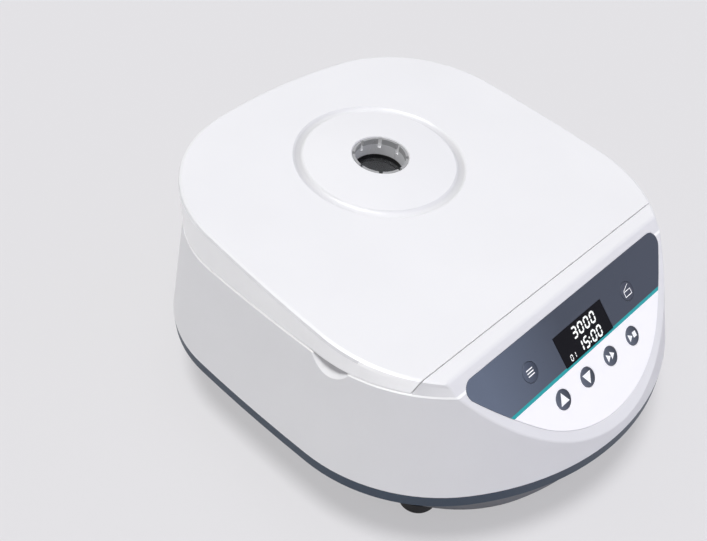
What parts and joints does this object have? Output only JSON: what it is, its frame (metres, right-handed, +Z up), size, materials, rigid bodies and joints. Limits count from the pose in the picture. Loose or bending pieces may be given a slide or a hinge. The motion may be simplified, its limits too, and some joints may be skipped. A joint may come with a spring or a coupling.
{
  "type": "blood centrifuge",
  "caption": "Bench blood centrifuge with a sloping hinged lid, a round viewing port, an angled control panel with a display and keys, an angle rotor, a lid latch and a brushless motor.",
  "frame": {"origin": "under the middle of the case, on the bench that the feet stand on", "axes": "+Z up, the control panel faces -Y, the lid hinge is at +Y, +X is to the right of someone at the panel"},
  "size_m": [0.312, 0.3392, 0.1657],
  "materials": {
    "white_plastic": "smooth satin white moulded case plastic",
    "slate_plastic": "dark slate-grey moulded plastic",
    "liner_plastic": "pale grey moulded plastic inside the lid",
    "label_film": "printed polyester front label, slate above a teal line, white below",
    "key_plastic": "dark slate key caps with white marks",
    "display_glass": "black display window with white digits",
    "clear_plastic": "grey translucent snap-in port tube and window",
    "black_rubber": "black moulded rubber",
    "seal_rubber": "dark grey sealing rubber",
    "stainless": "drawn stainless steel",
    "zinc_steel": "zinc-plated steel",
    "shaft_steel": "ground bearing steel",
    "rotor_aluminium": "anodised aluminium",
    "motor_metal": "black painted motor casing",
    "laminations": "stacked motor laminations",
    "circuit_board": "green glass-fibre circuit board",
    "black_plastic": "black moulded connector plastic",
    "capacitor_sleeve": "dark blue capacitor sleeve"
  },
  "bodies": {
    "case": {"base_pan": "slate_plastic", "base_screws": "zinc_steel", "board_posts": "zinc_steel", "capacitors": "capacitor_sleeve", "chamber_bowl": "stainless", "chamber_posts": "zinc_steel", "chamber_seal": "seal_rubber", "control_board": "circuit_board", "control_label": "label_film", "display_window": "display_glass", "drive_board": "circuit_board", "drive_standoffs": "zinc_steel", "foot_front_left": "black_rubber", "foot_front_right": "black_rubber", "foot_rear_left": "black_rubber", "foot_rear_right": "black_rubber", "foot_screws": "zinc_steel", "heat_sink": "rotor_aluminium", "hinge_pin_left": "shaft_steel", "hinge_pin_right": "shaft_steel", "inlet_pins": "shaft_steel", "inlet_screws": "zinc_steel", "key_switches": "black_plastic", "latch_housing": "black_plastic", "latch_solenoid": "zinc_steel", "lcd_module": "black_plastic", "lid_switch": "black_plastic", "lower_bearing": "shaft_steel", "motor_boot": "seal_rubber", "motor_end_cap": "motor_metal", "motor_housing": "motor_metal", "motor_plate": "zinc_steel", "motor_stator": "laminations", "plate_screws": "zinc_steel", "power_inlet": "black_plastic", "switch_frame": "black_plastic", "upper_bearing": "shaft_steel", "upper_housing": "white_plastic", "vibration_mounts": "black_rubber"},
    "lid": {"lid_shell": "white_plastic", "lid_liner": "liner_plastic", "lid_screws": "zinc_steel", "lid_seal": "seal_rubber", "viewing_port": "clear_plastic", "port_window": "clear_plastic", "lid_hook": "stainless"},
    "rotor": {"motor_shaft": "shaft_steel", "motor_magnet": "laminations", "angle_rotor": "rotor_aluminium", "rotor_nut": "rotor_aluminium"},
    "latch_bolt": {"latch_bolt": "shaft_steel"},
    "power_rocker": {"power_rocker": "black_plastic"},
    "key_set": {"key_set": "key_plastic"},
    "key_lid_release": {"key_lid_release": "key_plastic"},
    "key_up": {"key_up": "key_plastic"},
    "key_down": {"key_down": "key_plastic"},
    "key_pulse": {"key_pulse": "key_plastic"},
    "key_start_stop": {"key_start_stop": "key_plastic"}
  },
  "joints": [
    {"name": "lid_hinge", "type": "hinge", "parent": "case", "child": "lid", "pos_m": [0, 0.154, 0.12811], "axis": [-1, 0, 0], "range_deg": [0, 78]},
    {"name": "rotor_spin", "type": "hinge", "parent": "case", "child": "rotor", "pos_m": [0, 0.04525, 0.08], "axis": [0, 0, 1], "continuous": true},
    {"name": "latch_slide", "type": "slide", "parent": "case", "child": "latch_bolt", "axis": [1, 0, 0], "range_m": [0, 0.01]},
    {"name": "rocker_tilt", "type": "hinge", "parent": "case", "child": "power_rocker", "pos_m": [0.05793, 0.15356, 0.082], "axis": [0, 0, 1], "range_deg": [0, 20]},
    {"name": "set_press", "type": "slide", "parent": "case", "child": "key_set", "axis": [0, 0.7513, -0.66], "range_m": [0, 0.0005], "stiffness_N_per_m": 400},
    {"name": "lid_release_press", "type": "slide", "parent": "case", "child": "key_lid_release", "axis": [0, 0.7513, -0.66], "range_m": [0, 0.0005], "stiffness_N_per_m": 400},
    {"name": "up_press", "type": "slide", "parent": "case", "child": "key_up", "axis": [0, 0.7513, -0.66], "range_m": [0, 0.0005], "stiffness_N_per_m": 400},
    {"name": "down_press", "type": "slide", "parent": "case", "child": "key_down", "axis": [0, 0.7513, -0.66], "range_m": [0, 0.0005], "stiffness_N_per_m": 400},
    {"name": "pulse_press", "type": "slide", "parent": "case", "child": "key_pulse", "axis": [0, 0.7513, -0.66], "range_m": [0, 0.0005], "stiffness_N_per_m": 400},
    {"name": "start_stop_press", "type": "slide", "parent": "case", "child": "key_start_stop", "axis": [0, 0.7513, -0.66], "range_m": [0, 0.0005], "stiffness_N_per_m": 400}
  ]
}
